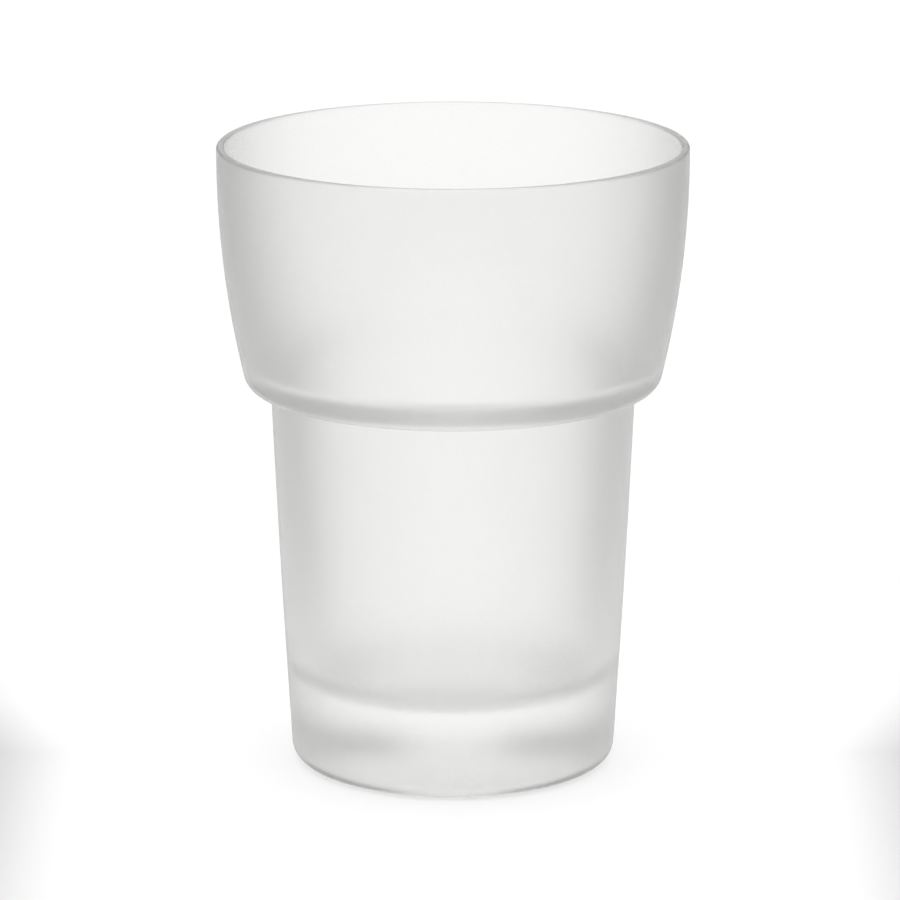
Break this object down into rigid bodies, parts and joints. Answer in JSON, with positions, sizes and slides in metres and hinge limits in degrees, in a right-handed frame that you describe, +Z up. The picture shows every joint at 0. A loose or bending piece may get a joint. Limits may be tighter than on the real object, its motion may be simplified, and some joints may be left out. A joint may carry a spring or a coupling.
{
  "type": "bathroom tumbler",
  "caption": "Satin-frosted pressed glass bathroom tumbler with a wide bowl over a narrower shank; the shoulder hangs in a wall holder's ring, the foot stands on a shelf.",
  "frame": {"origin": "centre of the standing ring, on the surface the tumbler stands on", "axes": "+Z up along the tumbler's axis towards its mouth; it is round about Z, so +X and +Y are any two square directions"},
  "size_m": [0.072, 0.072, 0.0968],
  "materials": {
    "satin_glass": "acid-etched satin outside and underneath, finer satin inside, fire-polished edges on the rim"
  },
  "bodies": {
    "root": {"tumbler": "satin_glass"}
  },
  "joints": []
}
